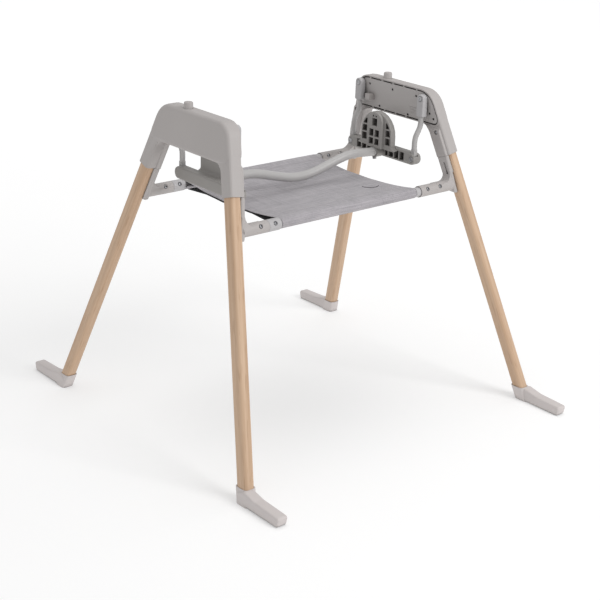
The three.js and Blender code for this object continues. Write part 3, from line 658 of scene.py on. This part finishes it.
def ripple(x, y):
    """Gentle unevenness of hand-hung cloth, fading out at the rails."""
    fade = max(0.0, 1 - (abs(y) / (RAIL_Y - 0.008)) ** 6)
    broad = noise.noise(Vector((x * 7, y * 9, 3.1)))
    folds = noise.noise(Vector((x * 30, y * 4.5, 8.7)))
    cross = noise.noise(Vector((x * 5, y * 34, 1.9)))
    edge = max(abs(x - SHELF_X[0] - 0.162) - 0.12, 0) / 0.042  # grows over the last 42 mm of each end
    return fade * (0.0013 * broad + 0.0008 * folds + 0.0007 * cross - 0.0008 * edge**2)


def sheet(name, section, xs, material, thickness):
    """A thin sheet on the stand: a Y-Z section carried along X."""
    verts = [(x, y, z) for x in xs for y, z in section]
    n = len(section)
    faces = [
        [i * n + k, (i + 1) * n + k, (i + 1) * n + k + 1, i * n + k + 1]
        for i in range(len(xs) - 1)
        for k in range(n - 1)
    ]
    obj = mesh_object(name, verts, faces, material, "stand")
    solid = obj.modifiers.new("thickness", "SOLIDIFY")
    solid.thickness = thickness
    solid.offset = 0
    solid.use_even_offset = True
    return obj


def shelf_cloth():
    """The woven shelf, sagging between the sleeves round its rails."""
    steps = 96
    xs = [SHELF_X[0] + (SHELF_X[1] - SHELF_X[0]) * i / steps for i in range(steps + 1)]
    section = shelf_section()
    obj = sheet("shelf_woven_cloth", section, xs, CLOTH, CLOTH_THICK)
    n = len(section)
    folded = SLEEVE_STEPS + HEM_STEPS

    def free(co):
        return abs(co.y) < RAIL_Y - 0.012 and co.z > RAIL_Z - 0.004

    for v in obj.data.vertices:
        if folded <= v.index % n < n - folded:
            v.co.z += ripple(v.co.x, v.co.y)
    drape(obj, free)
    fine = obj.modifiers.new("fine", "SUBSURF")
    fine.levels = fine.render_levels = 1
    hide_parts("shelf_cloth")
    return obj


def middle_of(cloth):
    """A function that gives the height of the settled cloth's middle surface at a point."""
    mesh = cloth.data
    tree = BVHTree.FromPolygons([v.co for v in mesh.vertices], [p.vertices for p in mesh.polygons])

    def height(x, y):
        inside = min(max(x, SHELF_X[0] + 0.0001), SHELF_X[1] - 0.0001)
        return tree.ray_cast(Vector((inside, y, 1)), Vector((0, 0, -1)))[0].z

    return height


def shelf_lining(cloth_height):
    """The black underside cloth: against the shelf in the middle, then straight down to the rails."""
    low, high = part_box("shelf_lining")

    def height(x, y):
        under = cloth_height(x, y) - LINING_DROP
        past = (abs(y) - LINING_LEAVES) / (LINING_REACH - LINING_LEAVES)
        if past <= 0:
            return under
        parting = cloth_height(x, math.copysign(LINING_LEAVES, y)) - LINING_DROP
        return min(under, parting + (LINING_EDGE - parting) * past)

    ys = [LINING_REACH * (i / 32 - 1) for i in range(65)]
    xs = [low.x + (high.x - low.x) * i / 60 for i in range(61)]
    obj = sheet("shelf_black_lining", [(y, 0) for y in ys], xs, LINING, 0.0009)
    for v in obj.data.vertices:
        v.co.z = height(v.co.x, v.co.y)
    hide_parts("shelf_lining")


def stitches(name, points, material, length=0.0038, hidden=0.0012, r=0.00022):
    """Raised stitches end to end along a line of surface points, the first one partly hidden."""
    verts, faces = [], []
    start, travelled = points[0], hidden
    for a, b in zip(points, points[1:]):
        travelled += (b - a).length
        if travelled >= length:
            add_capsule(verts, faces, start, b, r)
            start, travelled = b, 0.0
    mesh_object(name, verts, faces, material, "stand")


def add_capsule(verts, faces, a, b, r, sides=6):
    """Adds one closed stitch from a to b, thickest in its middle."""
    side, other, _ = basis(b - a)
    first = len(verts)
    rings = [(0.0, 0.3), (0.2, 0.95), (0.5, 1.1), (0.8, 0.95), (1.0, 0.3)]
    for t, width in rings:
        centre = a.lerp(b, t)
        for k in range(sides):
            angle = 2 * math.pi * k / sides
            verts.append(centre + r * width * (math.cos(angle) * side + math.sin(angle) * other))
    for i in range(len(rings) - 1):
        for k in range(sides):
            n = (k + 1) % sides
            low, high = first + i * sides, first + (i + 1) * sides
            faces.append([low + k, low + n, high + n, high + k])
    faces.append([first + k for k in reversed(range(sides))])
    faces.append([first + (len(rings) - 1) * sides + k for k in range(sides)])


def shelf_seams(cloth_height):
    """Two rows of stitches beside each rail, which hold the hem."""
    count = 600
    first, last = SHELF_X[0] + 0.004, SHELF_X[1] - 0.004
    xs = [first + (last - first) * i / count for i in range(count + 1)]
    top = CLOTH_THICK / 2 + 0.0001
    for side, way in SIDES.items():
        for row, y in enumerate(SEAM_ROWS):
            points = [Vector((x, way * y, cloth_height(x, way * y) + top)) for x in xs]
            stitches(f"shelf_{side}_seam_{row + 1}", points, THREAD)


def grip_cut(cloth_height):
    """A dark bound edge: the near half of a round finger hole in the cloth."""
    cx, cy, r = GRIP_MARK
    angles = [math.radians(172 + 150 * i / 40) for i in range(41)]
    path = []
    for a in angles:
        x, y = cx + r * math.cos(a), cy + r * math.sin(a)
        path.append(Vector((x, y, cloth_height(x, y) + CLOTH_THICK / 2 + 0.0002)))
    name, up = "shelf_finger_hole_binding", (0, 0, 1)
    tube(name, path, 0.0007, BINDING, "stand", sides=12, level=up)


# ---- Stage, light and camera --------------------------------------------------------------------------
def floor():
    """A pale floor that glows more with distance, so that it meets the white sky without an edge."""
    mesh = bpy.data.meshes.new("studio_floor")
    s = FLOOR_HALF
    mesh.from_pydata([(-s, -s, 0), (s, -s, 0), (s, s, 0), (-s, s, 0)], [], [[0, 1, 2, 3]])
    m = Mat("studio_floor")
    distance = m.add("ShaderNodeCameraData").outputs["View Distance"]
    far = m.ramp(m.math("DIVIDE", distance, 8.0), [(0.36, 0.0), (0.75, 1.0)])
    m.set("Base Color", m.mix(m.noise(2, 2), srgb(224, 224, 224), srgb(226, 226, 226)))
    m.set("Roughness", 0.9)
    m.set("Emission Color", (1, 1, 1, 1))
    m.set("Emission Strength", m.range(far, 0.27, 0.52))
    mesh.materials.append(m.material)
    obj = bpy.data.objects.new("studio_floor", mesh)
    bpy.context.scene.collection.objects.link(obj)


def area_light(name, at, target, size, power):
    """A soft square light that points at the target."""
    light = bpy.data.lights.new(name, "AREA")
    light.size = size
    light.energy = power
    obj = bpy.data.objects.new(name, light)
    obj.location = at
    obj.rotation_euler = (Vector(target) - Vector(at)).to_track_quat("-Z", "Y").to_euler()
    bpy.context.scene.collection.objects.link(obj)


def studio():
    """Soft light: a dim sky that looks white to the camera, a key light in front and one overhead."""
    world = bpy.data.worlds.new("studio")
    world.use_nodes = True
    tree = world.node_tree
    path = tree.nodes.new("ShaderNodeLightPath")
    strength = tree.nodes.new("ShaderNodeMapRange")
    strength.inputs["To Min"].default_value = SKY_LIGHT
    strength.inputs["To Max"].default_value = 1.0
    tree.links.new(path.outputs["Is Camera Ray"], strength.inputs["Value"])
    background = tree.nodes["Background"]
    background.inputs[0].default_value = (1, 1, 1, 1)
    tree.links.new(strength.outputs[0], background.inputs[1])
    bpy.context.scene.world = world
    area_light("key", (1.2, -3.4, 3.0), (0, 0, 0.3), 2.0, 76)
    area_light("top", (0.3, 0.4, 3.6), (0, 0, 0.2), 2.6, 26)
    bpy.context.scene.view_settings.view_transform = "Standard"


def camera():
    """The photo's point of view."""
    yaw, pitch, roll = (math.radians(a) for a in (CAMERA_YAW, CAMERA_PITCH, CAMERA_ROLL))
    look = Vector((math.cos(pitch) * math.cos(yaw), math.cos(pitch) * math.sin(yaw), -math.sin(pitch)))
    level = Vector((math.sin(yaw), -math.cos(yaw), 0))
    upright = level.cross(look)
    right = math.cos(roll) * level + math.sin(roll) * upright
    up = math.cos(roll) * upright - math.sin(roll) * level
    data = bpy.data.cameras.new("camera")
    data.lens, data.sensor_width = CAMERA_LENS, SENSOR
    data.clip_start = 0.05
    obj = bpy.data.objects.new("camera", data)
    turn = Matrix((right, up, -look)).transposed()
    obj.matrix_world = Matrix.Translation(CAMERA_AT) @ turn.to_4x4()
    bpy.context.scene.collection.objects.link(obj)
    bpy.context.scene.camera = obj


# ---- Assembly -----------------------------------------------------------------------------------------
paint_cad()
for node in NODES.values():
    smooth_cad(node)
cross_tube()
for end, sign in ENDS.items():
    button(end)
    button_spring(end)
    head_fittings(end, sign)
shelf = middle_of(shelf_cloth())
shelf_lining(shelf)
shelf_seams(shelf)
grip_cut(shelf)
floor()
studio()
camera()
